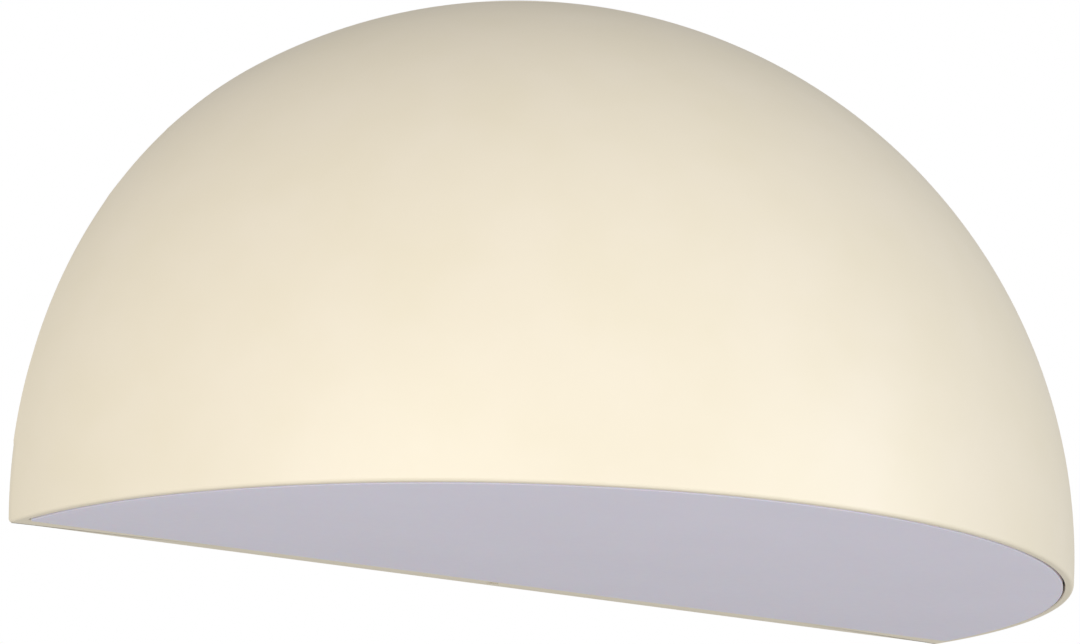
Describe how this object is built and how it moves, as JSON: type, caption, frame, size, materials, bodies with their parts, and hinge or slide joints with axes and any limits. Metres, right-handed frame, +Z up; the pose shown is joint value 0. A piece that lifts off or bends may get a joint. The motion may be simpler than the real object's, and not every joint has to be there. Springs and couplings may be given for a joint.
{
  "type": "outdoor wall light",
  "caption": "Quarter-dome outdoor wall light with a flat opal lens facing down, a cast housing and a hook-on wall bracket.",
  "frame": {"origin": "centre of the two wall-fixing slots, on the wall plane", "axes": "+X to the viewer's right along the wall, +Y into the wall, +Z up; the dome's front faces -Y and its lens faces -Z"},
  "size_m": [0.25, 0.138, 0.1297],
  "materials": {
    "cream_paint": "satin powder coat",
    "opal_lens": "satin opal acrylic",
    "zinc_steel": "galvanised",
    "bare_aluminium": "mill finish",
    "brass": "turned",
    "screw_steel": "stainless",
    "black_rubber": "matte",
    "grey_foam": "closed-cell foam",
    "silicone": "matte",
    "white_plastic": "moulded",
    "dark_plastic": "moulded",
    "circuit_board": "solder mask",
    "white_board": "white solder mask",
    "led_phosphor": "phosphor gel",
    "thermal_pad": "soft",
    "coil_tape": "tape",
    "capacitor_sleeve": "shrink sleeve",
    "brown_wire": "PVC",
    "blue_wire": "PVC",
    "earth_wire": "PVC",
    "red_wire": "PVC",
    "black_wire": "PVC"
  },
  "bodies": {
    "bracket": {"wall_bracket": "zinc_steel", "earth_stud": "brass", "earth_washer": "screw_steel", "earth_nut": "brass"},
    "head": {"dome_housing": "cream_paint", "wall_seal": "grey_foam", "lock_screw": "screw_steel", "cable_grommet": "black_rubber", "vent_plug": "dark_plastic", "vent_nut": "dark_plastic", "gear_tray": "bare_aluminium", "tray_screws": "screw_steel", "peg_bushes": "black_rubber", "reflector": "white_plastic", "thermal_pad": "thermal_pad", "led_board": "white_board", "led_chips": "led_phosphor", "board_screws": "screw_steel", "board_connector": "white_plastic", "driver_base": "white_plastic", "driver_lid": "white_plastic", "driver_screws": "screw_steel", "driver_board": "circuit_board", "driver_transformer": "coil_tape", "driver_capacitors": "capacitor_sleeve", "terminal_block": "white_plastic", "terminal_screws": "screw_steel", "block_screws": "screw_steel", "earth_tag": "screw_steel", "earth_tag_screw": "brass", "live_lead": "brown_wire", "neutral_lead": "blue_wire", "earth_lead": "earth_wire", "led_plus_lead": "red_wire", "led_minus_lead": "black_wire"},
    "cover": {"lens": "opal_lens", "lens_seal": "silicone"}
  },
  "joints": [
    {"name": "head_lift", "type": "slide", "parent": "bracket", "child": "head", "axis": [0, 0, 1], "range_m": [0, 0.008]},
    {"name": "lens_release", "type": "slide", "parent": "head", "child": "cover", "axis": [0, 0, -1], "range_m": [0, 0.012]}
  ]
}
